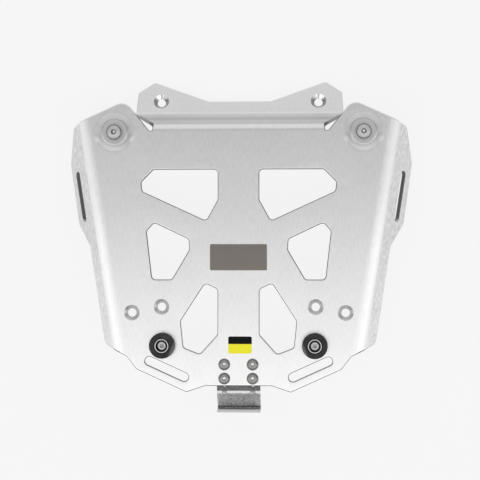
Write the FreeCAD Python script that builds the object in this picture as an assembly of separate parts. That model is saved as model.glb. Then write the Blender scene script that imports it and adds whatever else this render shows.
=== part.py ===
import FreeCAD, Part
import math
import os

# Rear luggage rack of a motorcycle: one formed aluminium sheet with its fittings, in millimetres.
# The origin is on the upper face of the deck, on the middle line, between the rows of seats and pucks.
# +X is to the right, +Y points to the front of the motorcycle, +Z is up.
# A half is a distance from the middle line X = 0. The left side mirrors the right side.

Vector = FreeCAD.Vector

# Sheet and the rows of fittings on it: seats in front of the origin, pucks behind it
sheet_thickness = 4.0
seat_row_front = 107.3
puck_row_back = 106.3
puck_half = 76.1

# Deck outline. The side edges are the bends of the flanges.
deck_front = 109.0
deck_back = 146.4
shoulder_angle = 24.4
kerf_angle = 51.7
kerf_root_radius = 1.5
ear_tip_half = 114.0
ear_tip_front = 139.4
ear_tip_radius = 12.0
rear_shoulder_half = 112.6
rear_shoulder_back = 116.9
rear_step_length = 13.1
rear_step_radius = 3.0
rear_lobe_half = 52.0
rear_lobe_radius = 2.5
rear_bay_half = 33.2
rear_bay_radius = 3.0

# Side flanges. Places along a flange count forward from Y = 0, depths go down its slope.
side_bend_half = 130.5
side_taper = 8.7
side_bend_angle = 60.0
side_bend_radius = 11.0
flange_front_depth = 16.3
flange_front_radius = 8.0
lobe_front_place = 83.9
lobe_front_depth = 39.5
lobe_front_radius = 12.0
lobe_rear_place = 21.7
lobe_rear_depth = 41.3
lobe_rear_radius = 7.0
flange_rear_place = -3.6
flange_rear_depth = 20.0
flange_foot_radius = 8.0
flange_end_radius = 9.0

# Strap slots, one in each flange and one along each rear edge
strap_slot_width = 8.5
flange_slot_length = 50.0
flange_slot_place = 48.3
flange_slot_depth = 23.5
rear_slot_length = 47.0
rear_slot_half = 71.8
rear_slot_inset = 12.9

# Tongue. Reaches go forward along its slope from the foot of the step.
step_angle = 55.0
step_radius = 4.5
step_wall = 21.0
tongue_slope = 20.0
tongue_foot_radius = 5.0
tongue_root_half = 86.6
tongue_half = 105.3
tongue_corner_half = 104.0
tongue_corner_reach = 21.4
tongue_corner_radius = 3.0
tongue_tip_half = 87.3
tongue_tip_reach = 33.3
tongue_tip_radius = 4.0
tongue_bay_half = 31.6
tongue_bay_reach = 11.4
tongue_bay_radius = 3.0

# Countersunk holes for fixing the rack to the motorcycle
fixing_hole = 8.4
fixing_countersink = 15.6
countersink_angle = 90.0
tongue_hole_half = 80.0
tongue_hole_reach = 11.2
outer_hole_half = 106.8
outer_hole_back = 73.5
inner_hole_half = 77.0
inner_hole_back = 67.7

# Windows: corners as half and forward place, with one radius for each window
front_window = [(20.8, 69.8), (85.3, 69.8), (97.7, 57.2), (96.7, 48.0), (32.3, 18.4), (20.8, 39.6)]
front_window_radius = 4.0
middle_window = [(84.7, 16.5), (92.2, 8.1), (86.6, -40.3), (66.8, -40.3), (49.3, -10.5), (49.9, 0.0)]
middle_window_radius = 4.0
rear_window = [(33.5, -44.0), (57.9, -81.7), (55.2, -108.2), (38.6, -114.8), (21.0, -95.2), (21.0, -50.0)]
rear_window_radius = 4.0

# Pressed seats
seat_depth = 2.0
seat_wall_angle = 22.0
seat_rim_radius = 6.0
seat_floor_radius = 1.5
seat_clearance = 1.0
seat_land = 0.5
seat_margin = 1.15

# Corner screws
corner_thread = 8.0
corner_screw_length = 16.0
corner_head = 14.4
corner_head_height = 4.4
corner_flange = 17.8
corner_flange_height = 1.4
corner_socket = 5.0
corner_socket_depth = 3.0
corner_washer = 26.0
corner_washer_thickness = 2.0
corner_nut_width = 13.0
corner_nut_height = 6.5

# Pucks
puck_diameter = 25.4
puck_height = 10.0
puck_edge = 1.0
sleeve_outer = 14.0
sleeve_inner = 11.8
sleeve_floor = 2.0
puck_thread = 5.0
puck_screw_length = 12.0
puck_head = 8.5
puck_head_height = 5.0
puck_socket = 4.0
puck_socket_depth = 2.5
puck_washer = 10.0
puck_washer_thickness = 1.0
puck_nut_width = 8.0
puck_nut_height = 4.7

# Latch bracket. While its screws are loose, its slots let it slide by latch_travel each way.
latch_thickness = 3.0
latch_width = 43.4
latch_travel = 4.5
latch_front_margin = 7.0
latch_bend_gap = 5.8
latch_ramp_angle = 42.0
latch_ramp_length = 17.7
latch_bend_radius = 1.5
latch_trough_radius = 1.2
latch_lip_height = 9.8

# Latch screws, two across and two along
latch_screws_across = 28.3
latch_screws_along = 14.0
latch_screw_inset = 7.4
latch_thread = 6.0
latch_screw_length = 16.0
latch_head = 11.8
latch_head_height = 3.3
latch_socket = 4.0
latch_socket_depth = 2.0
latch_washer = 12.0
latch_washer_thickness = 1.6
latch_nut_width = 10.0
latch_nut_height = 5.0

# Badge plate and sticker
badge_width = 56.8
badge_length = 26.2
badge_thickness = 1.5
badge_back = 18.2
badge_radius = 1.0
sticker_width = 23.5
sticker_length = 17.0
sticker_thickness = 0.3
sticker_inset = 40.8
sticker_aside = 1.6
sticker_radius = 1.8

# Fits
hole_clearance = 0.3
slot_clearance = 0.4
stop_clearance = 0.5
slide_clearance = 0.1
thread_clearance = 0.05
sleeve_clearance = 0.05

# Proportions of button heads and nuts, and how far a cutter runs past what it cuts
button_rim_share = 0.15
button_flat_share = 0.55
button_crown_share = 0.87
hexagon_sides = 6
small_chamfer = 0.3
nut_chamfer_angle = 30.0
overrun = 30.0

middle = Vector(0, 0, 0)
up = Vector(0, 0, 1)
across = Vector(1, 0, 0)
forward = Vector(0, 1, 0)


def sine(degrees):
    return math.sin(math.radians(degrees))


def cosine(degrees):
    return math.cos(math.radians(degrees))


def tangent(degrees):
    return math.tan(math.radians(degrees))


# Outlines

def with_radius(points, radius):
    return [(first, second, radius) for first, second in points]


def unit_towards(start, end):
    step = Vector(end[0] - start[0], end[1] - start[1], 0)
    return step.normalize()


def corner_cut(corner, before, after):
    # The two ends and the middle of the arc that rounds a corner, or the bare corner.
    point = Vector(corner[0], corner[1], 0)
    radius = corner[2]
    if radius == 0:
        return [point]
    back = unit_towards(corner, before)
    ahead = unit_towards(corner, after)
    half_angle = back.getAngle(ahead) / 2
    setback = radius / math.tan(half_angle)
    to_centre = (back + ahead).normalize()
    arc_middle = point + to_centre * (radius / math.sin(half_angle) - radius)
    return [point + back * setback, arc_middle, point + ahead * setback]


def rounded_face(corners):
    cuts = []
    for index, corner in enumerate(corners):
        before = corners[index - 1]
        after = corners[(index + 1) % len(corners)]
        cuts.append(corner_cut(corner, before, after))
    edges = []
    for index, cut in enumerate(cuts):
        if len(cut) > 1:
            edges.append(Part.Arc(cut[0], cut[1], cut[2]).toShape())
        start = cut[-1]
        end = cuts[(index + 1) % len(cuts)][0]
        edges.append(Part.LineSegment(start, end).toShape())
    return Part.Face(Part.Wire(edges))


def prism(corners, bottom, height):
    face = rounded_face(corners)
    face.translate(Vector(0, 0, bottom))
    return face.extrude(Vector(0, 0, height))


def slot_prism(length, width, bottom, height):
    # A slot along local X with round ends, centred on the origin.
    reach = length / 2 - width / 2
    radius = width / 2
    bar = Part.makeBox(2 * reach, width, height, Vector(-reach, -radius, bottom))
    ends = [Part.makeCylinder(radius, height, Vector(side * reach, 0, bottom)) for side in (-1, 1)]
    return bar.multiFuse(ends).removeSplitter()


def placed(shape, origin, local_x, local_z):
    # Moves a shape from its own axes to the given ones.
    rotation = FreeCAD.Rotation(local_x, local_z.cross(local_x), local_z, "ZXY")
    copy = shape.copy()
    copy.Placement = FreeCAD.Placement(origin, rotation).multiply(copy.Placement)
    return copy


def mirrored(shape):
    return shape.mirror(middle, across)


def both_sides(shape):
    return [shape, mirrored(shape)]


def moved(shape, x, y, z):
    copy = shape.copy()
    copy.translate(Vector(x, y, z))
    return copy


# Bent strips: a section is walked along its upper surface, a state is (along, height, heading)

def run(length):
    return ("run", length)


def bend(angle, inner_radius):
    return ("bend", angle, inner_radius)


def walk(state, step, thickness, share=1.0):
    along, height, heading = state
    amount = step[1] * share
    if step[0] == "run":
        return (along + amount * cosine(heading), height + amount * sine(heading), heading)
    side = 1 if step[1] > 0 else -1
    radius = step[2] if side > 0 else step[2] + thickness
    turned = heading + amount
    along_end = along - side * radius * (sine(heading) - sine(turned))
    height_end = height + side * radius * (cosine(heading) - cosine(turned))
    return (along_end, height_end, turned)


def walk_all(state, steps, thickness):
    states = [state]
    for step in steps:
        states.append(walk(states[-1], step, thickness))
    return states


def strip_section(start, steps, thickness, origin, along_axis):
    # Closed section of a bent sheet in the plane of along_axis and the vertical.
    def upper(state):
        return origin + along_axis * state[0] + up * state[1]

    def lower(state):
        below = thickness * cosine(state[2])
        ahead = thickness * sine(state[2])
        return origin + along_axis * (state[0] + ahead) + up * (state[1] - below)

    def side_edges(surface):
        edges = []
        state = start
        for step in steps:
            half_way = walk(state, step, thickness, 1 / 2)
            end = walk(state, step, thickness)
            if step[0] == "run":
                edges.append(Part.LineSegment(surface(state), surface(end)).toShape())
            else:
                edges.append(Part.Arc(surface(state), surface(half_way), surface(end)).toShape())
            state = end
        return edges, state

    upper_edges, last = side_edges(upper)
    lower_edges, last = side_edges(lower)
    near_cap = Part.LineSegment(lower(start), upper(start)).toShape()
    far_cap = Part.LineSegment(upper(last), lower(last)).toShape()
    edges = upper_edges + [far_cap] + lower_edges[::-1] + [near_cap]
    wire = Part.Wire(Part.__sortEdges__(edges))
    return Part.Face(wire)


# Turned and hexagonal forms

def revolved(points):
    # A closed outline of (radius, height) turned about Z.
    corners = [Vector(radius, 0, height) for radius, height in points]
    face = Part.Face(Part.makePolygon(corners + corners[:1]))
    return face.revolve(middle, up, 360)


def ring(outer, inner, bottom, height, chamfer):
    outer_radius = outer / 2
    inner_radius = inner / 2
    top = bottom + height
    return revolved([
        (inner_radius, bottom),
        (outer_radius - chamfer, bottom),
        (outer_radius, bottom + chamfer),
        (outer_radius, top - chamfer),
        (outer_radius - chamfer, top),
        (inner_radius, top),
    ])


def hexagon_corner_radius(width_across_flats):
    return width_across_flats / 2 / cosine(180 / hexagon_sides)


def hexagon_prism(width_across_flats, bottom, height):
    radius = hexagon_corner_radius(width_across_flats)
    points = []
    for side in range(hexagon_sides):
        turn = 360 * side / hexagon_sides
        points.append(Vector(radius * cosine(turn), radius * sine(turn), bottom))
    return Part.Face(Part.makePolygon(points + points[:1])).extrude(Vector(0, 0, height))


def hexagon_nut(width, thread, top, height):
    # A nut that hangs down from its seat at the given height.
    bottom = top - height
    corner_radius = hexagon_corner_radius(width)
    flat_radius = width / 2
    fall = (corner_radius - flat_radius) * tangent(nut_chamfer_angle)
    envelope = revolved([
        (0, bottom),
        (flat_radius, bottom),
        (corner_radius, bottom + fall),
        (corner_radius, top - fall),
        (flat_radius, top),
        (0, top),
    ])
    bore = Part.makeCylinder(thread / 2 + thread_clearance, height, Vector(0, 0, bottom))
    return hexagon_prism(width, bottom, height).common(envelope).cut(bore)


def shank(thread, length, top):
    radius = thread / 2
    bottom = top - length
    return revolved([
        (0, bottom),
        (radius - small_chamfer, bottom),
        (radius, bottom + small_chamfer),
        (radius, top),
        (0, top),
    ])


def button_dome(diameter, bottom, height):
    # A low dome with a short upright rim and a flat top.
    rim = bottom + height * button_rim_share
    top = bottom + height
    outer = diameter / 2
    flat = outer * button_flat_share
    seat_middle = Vector(0, 0, bottom)
    rim_foot = Vector(outer, 0, bottom)
    rim_top = Vector(outer, 0, rim)
    crown = Vector((outer + flat) / 2, 0, rim + (top - rim) * button_crown_share)
    flat_edge = Vector(flat, 0, top)
    flat_middle = Vector(0, 0, top)
    edges = [
        Part.LineSegment(seat_middle, rim_foot).toShape(),
        Part.LineSegment(rim_foot, rim_top).toShape(),
        Part.Arc(rim_top, crown, flat_edge).toShape(),
        Part.LineSegment(flat_edge, flat_middle).toShape(),
        Part.LineSegment(flat_middle, seat_middle).toShape(),
    ]
    return Part.Face(Part.Wire(edges)).revolve(middle, up, 360)


# Rack plate

side_bend_outer_radius = side_bend_radius + sheet_thickness
side_bend_reach = side_bend_outer_radius * sine(side_bend_angle)
side_bend_drop = side_bend_outer_radius * (1 - cosine(side_bend_angle))
side_along = Vector(sine(side_taper), cosine(side_taper), 0)
side_outward = Vector(cosine(side_taper), -sine(side_taper), 0)
side_origin = Vector(side_bend_half, 0, 0)
inner_shoulder_half = rear_shoulder_half - rear_step_length / tangent(kerf_angle)
inner_shoulder_back = rear_shoulder_back + rear_step_length
far_half = 2 * side_bend_half
through = 4 * sheet_thickness


def plan_corners():
    # The right half of the plan outline, from front to rear. It runs out past the flange.
    ear_root_half = ear_tip_half - (ear_tip_front - deck_front) / tangent(kerf_angle)
    far_front = ear_tip_front - (far_half - ear_tip_half) * tangent(shoulder_angle)
    far_back = rear_shoulder_back - (far_half - rear_shoulder_half) * tangent(shoulder_angle)
    lobe_back = inner_shoulder_back + (inner_shoulder_half - rear_lobe_half) * tangent(shoulder_angle)
    return [
        (0, deck_front, 0),
        (ear_root_half, deck_front, kerf_root_radius),
        (ear_tip_half, ear_tip_front, ear_tip_radius),
        (far_half, far_front, 0),
        (far_half, -far_back, 0),
        (rear_shoulder_half, -rear_shoulder_back, rear_step_radius),
        (inner_shoulder_half, -inner_shoulder_back, rear_step_radius),
        (rear_lobe_half, -lobe_back, rear_lobe_radius),
        (rear_bay_half, -deck_back, rear_bay_radius),
        (0, -deck_back, 0),
    ]


def plan_prism():
    depth = sheet_thickness + side_bend_drop + max(lobe_front_depth, lobe_rear_depth) + overrun
    return prism(plan_corners(), -depth, 2 * depth)


def side_point(place, outward, down):
    return side_origin + side_along * place + side_outward * outward - up * down


# A seat lies one margin inside the start of the side bend.
seat_floor_half = corner_washer / 2 + seat_clearance
seat_rim_half = seat_floor_half + seat_depth / tangent(seat_wall_angle)
seat_offset = sheet_thickness * tangent(seat_wall_angle / 2)
seat_reach = seat_rim_half + seat_rim_radius * tangent(seat_wall_angle / 2) + seat_land
seat_bend_half = side_bend_half + seat_row_front * tangent(side_taper)
seat_half = seat_bend_half - (seat_reach + seat_margin) / cosine(side_taper)


def half_deck():
    # The flat of the deck between the middle line and the start of the side bend.
    length = ear_tip_front + deck_back + 2 * overrun
    front_end = side_point(length, 0, 0)
    rear_end = side_point(-length, 0, 0)
    corners = [
        (0, front_end.y, 0),
        (front_end.x, front_end.y, 0),
        (rear_end.x, rear_end.y, 0),
        (0, rear_end.y, 0),
    ]
    return prism(corners, -sheet_thickness, sheet_thickness).common(plan_prism())


def place_on_flange(start_half, start_forward, slope, depth):
    # Where a straight plan edge, rising outward at the given slope, crosses the flange at a depth.
    outward = side_bend_reach + depth * cosine(side_bend_angle)
    start = side_point(0, outward, 0)
    miss = start_forward + (start.x - start_half) * slope - start.y
    return miss / (side_along.y - side_along.x * slope)


def flange_corners():
    front_edge = (ear_tip_half, ear_tip_front, -tangent(shoulder_angle))
    rear_edge = (rear_shoulder_half, -rear_shoulder_back, tangent(shoulder_angle))
    above = side_bend_outer_radius + overrun
    front_place = place_on_flange(*front_edge, 0)
    rear_place = place_on_flange(*rear_edge, 0)
    return [
        (front_place + overrun, -above, 0),
        (front_place + overrun, 0, 0),
        (front_place, 0, 0),
        (place_on_flange(*front_edge, flange_front_depth), flange_front_depth, flange_front_radius),
        (lobe_front_place, lobe_front_depth, lobe_front_radius),
        (lobe_rear_place, lobe_rear_depth, lobe_rear_radius),
        (flange_rear_place, flange_rear_depth, flange_foot_radius),
        (place_on_flange(*rear_edge, flange_rear_depth), flange_rear_depth, flange_end_radius),
        (rear_place, 0, 0),
        (rear_place - overrun, 0, 0),
        (rear_place - overrun, -above, 0),
    ]


def on_flange(shape):
    # Local X runs forward along the bend, local Y down the slope, local -Z outward from the sheet.
    origin = side_point(0, side_bend_reach, side_bend_drop)
    down_slope = side_outward * cosine(side_bend_angle) - up * sine(side_bend_angle)
    return placed(shape, origin, side_along, side_along.cross(down_slope))


def side_flange():
    length = ear_tip_front + deck_back + 2 * overrun
    depth = max(lobe_front_depth, lobe_rear_depth)
    steps = [bend(-side_bend_angle, side_bend_radius), run(depth)]
    section = strip_section((0, 0, 0), steps, sheet_thickness, side_point(-length, 0, 0), side_outward)
    strip = section.extrude(side_along * (2 * length))
    reach = side_bend_outer_radius + depth + overrun
    trim = on_flange(prism(flange_corners(), -reach, 2 * reach))
    return strip.common(plan_prism()).common(trim)


def strap_slot(length):
    return slot_prism(length, strap_slot_width, -through / 2, through)


def flange_slot():
    return on_flange(moved(strap_slot(flange_slot_length), flange_slot_place, flange_slot_depth, 0))


def rear_slot():
    # It runs along the rear edge, one inset in front of it.
    edge_back = inner_shoulder_back + (inner_shoulder_half - rear_slot_half) * tangent(shoulder_angle)
    slot_back = edge_back - rear_slot_inset / cosine(shoulder_angle)
    slot = strap_slot(rear_slot_length)
    slot.rotate(middle, up, shoulder_angle)
    return moved(slot, rear_slot_half, -slot_back, 0)


# Tongue

step_bends = [bend(-step_angle, step_radius), run(step_wall)]
step_steps = step_bends + [bend(step_angle - tongue_slope, tongue_foot_radius)]
step_states = walk_all((deck_front, 0, 0), step_steps, sheet_thickness)


def tongue_frame(shape):
    # Local X is across, local Y forward down the slope, local Z up from its face.
    along, height, heading = step_states[-1]
    normal = Vector(0, -sine(heading), cosine(heading))
    return placed(shape, Vector(0, along, height), across, normal)


def half_step():
    # The bends and the wall between deck and tongue. Its oblique side is cut square to the wall.
    section = strip_section((deck_front, 0, 0), step_steps, sheet_thickness, middle, forward)
    strip = section.extrude(across * tongue_half)
    wall_top = step_states[1]
    wall_normal = Vector(0, sine(step_angle), cosine(step_angle))
    beyond = step_wall + overrun
    corners = [
        (0, -beyond, 0),
        (tongue_root_half, -beyond, 0),
        (tongue_root_half, 0, 0),
        (tongue_half, step_wall, 0),
        (tongue_half, beyond, 0),
        (0, beyond, 0),
    ]
    trim = prism(corners, -beyond, 2 * beyond)
    return strip.common(placed(trim, Vector(0, wall_top[0], wall_top[1]), across, wall_normal))


def half_tongue():
    corners = [
        (0, 0, 0),
        (tongue_half, 0, 0),
        (tongue_corner_half, tongue_corner_reach, tongue_corner_radius),
        (tongue_tip_half, tongue_tip_reach, tongue_tip_radius),
        (tongue_bay_half, tongue_bay_reach, tongue_bay_radius),
        (0, tongue_bay_reach, 0),
    ]
    return tongue_frame(prism(corners, -sheet_thickness, sheet_thickness))


# Holes and pressed seats

def countersink_cutter():
    # It cuts from the sheet's upper face down.
    outer = fixing_countersink / 2
    inner = fixing_hole / 2
    cone_depth = (outer - inner) / tangent(countersink_angle / 2)
    spread = sheet_thickness * tangent(countersink_angle / 2)
    return revolved([
        (0, sheet_thickness),
        (outer + spread, sheet_thickness),
        (inner, -cone_depth),
        (inner, -through),
        (0, -through),
    ])


def fixing_holes():
    cutter = countersink_cutter()
    outer_hole = moved(cutter, outer_hole_half, -outer_hole_back, 0)
    inner_hole = moved(cutter, inner_hole_half, -inner_hole_back, 0)
    tongue_hole = tongue_frame(moved(cutter, tongue_hole_half, tongue_hole_reach, 0))
    return [outer_hole, inner_hole, tongue_hole]


def seat_dish():
    # The pressed seat keeps the thickness of the sheet. Its hole is cut with the others.
    bottom = -seat_depth - sheet_thickness
    corners = [
        (seat_reach, 0, 0),
        (seat_rim_half, 0, seat_rim_radius),
        (seat_floor_half, -seat_depth, seat_floor_radius),
        (0, -seat_depth, 0),
        (0, bottom, 0),
        (seat_floor_half + seat_offset, bottom, seat_floor_radius + sheet_thickness),
        (seat_rim_half + seat_offset, -sheet_thickness, max(seat_rim_radius - sheet_thickness, 0)),
        (seat_reach, -sheet_thickness, 0),
    ]
    face = rounded_face(corners)
    face.rotate(middle, across, 90)
    return face.revolve(middle, up, 360)


def seat_well():
    return Part.makeCylinder(seat_reach, through, Vector(seat_half, seat_row_front, -through / 2))


def screw_hole(thread, half, place):
    return Part.makeCylinder(thread / 2 + hole_clearance, through, Vector(half, place, -through / 2))


def screw_holes():
    corner_hole = screw_hole(corner_thread, seat_half, seat_row_front)
    puck_hole = screw_hole(puck_thread, puck_half, -puck_row_back)
    latch_holes = [screw_hole(latch_thread, latch_screw_half, -back) for back in latch_screw_backs]
    return [corner_hole, puck_hole] + latch_holes


def windows():
    outlines = [
        with_radius(front_window, front_window_radius),
        with_radius(middle_window, middle_window_radius),
        with_radius(rear_window, rear_window_radius),
    ]
    return [prism(outline, -through / 2, through) for outline in outlines]


def rack_plate():
    dish = moved(seat_dish(), seat_half, seat_row_front, 0)
    deck = half_deck().cut(seat_well())
    half = deck.multiFuse([dish, side_flange(), half_step(), half_tongue()])
    openings = fixing_holes() + screw_holes() + windows() + [flange_slot(), rear_slot()]
    half = half.cut(openings)
    return half.fuse(mirrored(half)).removeSplitter()


# Fittings on the deck

def rounded_plate(width, length, radius, thickness):
    half_width = width / 2
    half_length = length / 2
    corners = [
        (-half_width, -half_length),
        (half_width, -half_length),
        (half_width, half_length),
        (-half_width, half_length),
    ]
    return prism(with_radius(corners, radius), 0, thickness)


def badge_plate():
    plate = rounded_plate(badge_width, badge_length, badge_radius, badge_thickness)
    return moved(plate, 0, -badge_back, 0)


def colour_sticker():
    sheet = rounded_plate(sticker_width, sticker_length, sticker_radius, sticker_thickness)
    return moved(sheet, sticker_aside, sticker_inset - deck_back, 0)


# Corner screws

corner_washer_top = corner_washer_thickness - seat_depth


def corner_washer_ring():
    bore = corner_thread + 2 * hole_clearance
    return ring(corner_washer, bore, -seat_depth, corner_washer_thickness, small_chamfer)


def corner_screw():
    flange_top = corner_washer_top + corner_flange_height
    flange = ring(corner_flange, 0, corner_washer_top, corner_flange_height, small_chamfer)
    dome = button_dome(corner_head, flange_top, corner_head_height)
    head_top = flange_top + corner_head_height
    socket = hexagon_prism(corner_socket, head_top - corner_socket_depth, 2 * corner_socket_depth)
    body = flange.multiFuse([dome, shank(corner_thread, corner_screw_length, corner_washer_top)])
    return body.cut(socket).removeSplitter()


def corner_nut():
    return hexagon_nut(corner_nut_width, corner_thread, -seat_depth - sheet_thickness, corner_nut_height)


# Pucks

def rubber_puck():
    outer = puck_diameter / 2
    bore = sleeve_outer / 2 + sleeve_clearance
    return revolved([
        (bore, 0),
        (outer, 0),
        (outer, puck_height - puck_edge),
        (outer - puck_edge, puck_height),
        (bore, puck_height),
    ])


def puck_sleeve():
    bore = puck_thread / 2 + hole_clearance
    return revolved([
        (bore, 0),
        (sleeve_outer / 2, 0),
        (sleeve_outer / 2, puck_height),
        (sleeve_inner / 2, puck_height),
        (sleeve_inner / 2, sleeve_floor),
        (bore, sleeve_floor),
    ])


def puck_screw():
    head_top = sleeve_floor + puck_head_height
    head = ring(puck_head, 0, sleeve_floor, puck_head_height, small_chamfer)
    socket = hexagon_prism(puck_socket, head_top - puck_socket_depth, 2 * puck_socket_depth)
    return head.fuse(shank(puck_thread, puck_screw_length, sleeve_floor)).cut(socket).removeSplitter()


def puck_washer_ring():
    bore = puck_thread + 2 * hole_clearance
    bottom = -sheet_thickness - puck_washer_thickness
    return ring(puck_washer, bore, bottom, puck_washer_thickness, small_chamfer)


def puck_nut():
    seat = -sheet_thickness - puck_washer_thickness
    return hexagon_nut(puck_nut_width, puck_thread, seat, puck_nut_height)


# Latch bracket and its screws

latch_screw_half = latch_screws_across / 2
latch_rear_screw_back = deck_back - latch_screw_inset
latch_screw_backs = [latch_rear_screw_back - latch_screws_along, latch_rear_screw_back]
latch_top = -sheet_thickness - slide_clearance
latch_washer_seat = latch_top - latch_thickness - slide_clearance
latch_slot_width = latch_thread + 2 * slot_clearance
latch_slot_length = latch_screws_along + 2 * (latch_travel + stop_clearance) + latch_slot_width


def latch_bracket():
    # Walked to the rear: plate under the deck, ramp down, trough and upright lip.
    slot_middle = latch_rear_screw_back - latch_screws_along / 2
    front_back = slot_middle - latch_slot_length / 2 - latch_front_margin
    steps = [
        run(deck_back + latch_bend_gap - front_back),
        bend(-latch_ramp_angle, latch_bend_radius),
        run(latch_ramp_length),
        bend(latch_ramp_angle + 90, latch_trough_radius),
        run(latch_lip_height),
    ]
    origin = Vector(-latch_width / 2, 0, 0)
    section = strip_section((front_back, latch_top, 0), steps, latch_thickness, origin, -forward)
    strip = section.extrude(across * latch_width)
    slot = slot_prism(latch_slot_length, latch_slot_width, -through, through)
    slot.rotate(middle, up, 90)
    slots = both_sides(moved(slot, latch_screw_half, -slot_middle, 0))
    return strip.cut(slots)


def latch_screw():
    dome = button_dome(latch_head, 0, latch_head_height)
    bottom = latch_head_height - latch_socket_depth
    socket = hexagon_prism(latch_socket, bottom, 2 * latch_socket_depth)
    return dome.fuse(shank(latch_thread, latch_screw_length, 0)).cut(socket).removeSplitter()


def latch_washer_ring():
    bore = latch_thread + 2 * hole_clearance
    bottom = latch_washer_seat - latch_washer_thickness
    return ring(latch_washer, bore, bottom, latch_washer_thickness, small_chamfer)


def latch_nut():
    seat = latch_washer_seat - latch_washer_thickness
    return hexagon_nut(latch_nut_width, latch_thread, seat, latch_nut_height)


# Nodes

def pair(name, shape, half, place):
    return {
        "right_" + name: moved(shape, half, place, 0),
        "left_" + name: moved(shape, -half, place, 0),
    }


def latch_set(name, shape):
    nodes = {}
    for row, back in zip(("front", "rear"), latch_screw_backs):
        for side, sign in (("left", -1), ("right", 1)):
            nodes[row + "_" + side + "_" + name] = moved(shape, sign * latch_screw_half, -back, 0)
    return nodes


def all_nodes():
    nodes = {
        "rack_plate": rack_plate(),
        "badge_plate": badge_plate(),
        "colour_sticker": colour_sticker(),
        "latch_bracket": latch_bracket(),
    }
    nodes.update(pair("corner_washer", corner_washer_ring(), seat_half, seat_row_front))
    nodes.update(pair("corner_screw", corner_screw(), seat_half, seat_row_front))
    nodes.update(pair("corner_nut", corner_nut(), seat_half, seat_row_front))
    nodes.update(pair("rubber_puck", rubber_puck(), puck_half, -puck_row_back))
    nodes.update(pair("puck_sleeve", puck_sleeve(), puck_half, -puck_row_back))
    nodes.update(pair("puck_screw", puck_screw(), puck_half, -puck_row_back))
    nodes.update(pair("puck_washer", puck_washer_ring(), puck_half, -puck_row_back))
    nodes.update(pair("puck_nut", puck_nut(), puck_half, -puck_row_back))
    nodes.update(latch_set("latch_screw", latch_screw()))
    nodes.update(latch_set("latch_washer", latch_washer_ring()))
    nodes.update(latch_set("latch_nut", latch_nut()))
    return nodes


os.makedirs("parts", exist_ok=True)
for name, shape in all_nodes().items():
    shape.exportStep(os.path.join("parts", name + ".step"))
    print(name, len(shape.Solids), shape.isValid(), round(shape.Volume, 1), shape.BoundBox)
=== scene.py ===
import math

import bpy
from mathutils import Euler, Matrix, Vector


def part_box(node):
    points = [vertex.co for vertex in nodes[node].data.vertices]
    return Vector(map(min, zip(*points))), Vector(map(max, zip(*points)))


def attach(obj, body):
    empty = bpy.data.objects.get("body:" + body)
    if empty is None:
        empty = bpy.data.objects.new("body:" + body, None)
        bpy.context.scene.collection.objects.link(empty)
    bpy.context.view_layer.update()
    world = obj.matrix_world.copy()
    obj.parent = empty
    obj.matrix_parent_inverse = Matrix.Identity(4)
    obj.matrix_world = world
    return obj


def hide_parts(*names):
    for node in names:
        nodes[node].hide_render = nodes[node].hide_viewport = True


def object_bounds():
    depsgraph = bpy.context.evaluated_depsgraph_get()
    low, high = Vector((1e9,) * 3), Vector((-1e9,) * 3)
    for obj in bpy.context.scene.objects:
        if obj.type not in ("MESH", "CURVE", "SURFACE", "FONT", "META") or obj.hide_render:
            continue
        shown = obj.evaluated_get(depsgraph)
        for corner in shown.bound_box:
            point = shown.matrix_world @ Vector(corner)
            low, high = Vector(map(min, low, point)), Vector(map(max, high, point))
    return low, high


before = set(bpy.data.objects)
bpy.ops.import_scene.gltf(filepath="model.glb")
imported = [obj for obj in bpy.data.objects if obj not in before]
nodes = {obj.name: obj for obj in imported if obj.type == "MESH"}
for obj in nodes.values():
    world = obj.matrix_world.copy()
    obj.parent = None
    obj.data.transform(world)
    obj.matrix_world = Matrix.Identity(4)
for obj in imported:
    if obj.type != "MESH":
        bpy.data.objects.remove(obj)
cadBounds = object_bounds()
mm = 0.001


# Choosing and shaping

def deselectAll():
    if bpy.context.mode != "OBJECT":
        bpy.ops.object.mode_set(mode="OBJECT")
    bpy.ops.object.select_all(action="DESELECT")


def chooseOnly(piece):
    deselectAll()
    piece.select_set(True)
    bpy.context.view_layer.objects.active = piece


def applyModifier(piece, kind, **settings):
    chooseOnly(piece)
    modifier = piece.modifiers.new(kind.title(), kind)
    for key, value in settings.items():
        setattr(modifier, key, value)
    bpy.ops.object.modifier_apply(modifier=modifier.name)


def applyPlace(piece):
    chooseOnly(piece)
    bpy.ops.object.transform_apply(location=True, rotation=True, scale=True)


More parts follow.
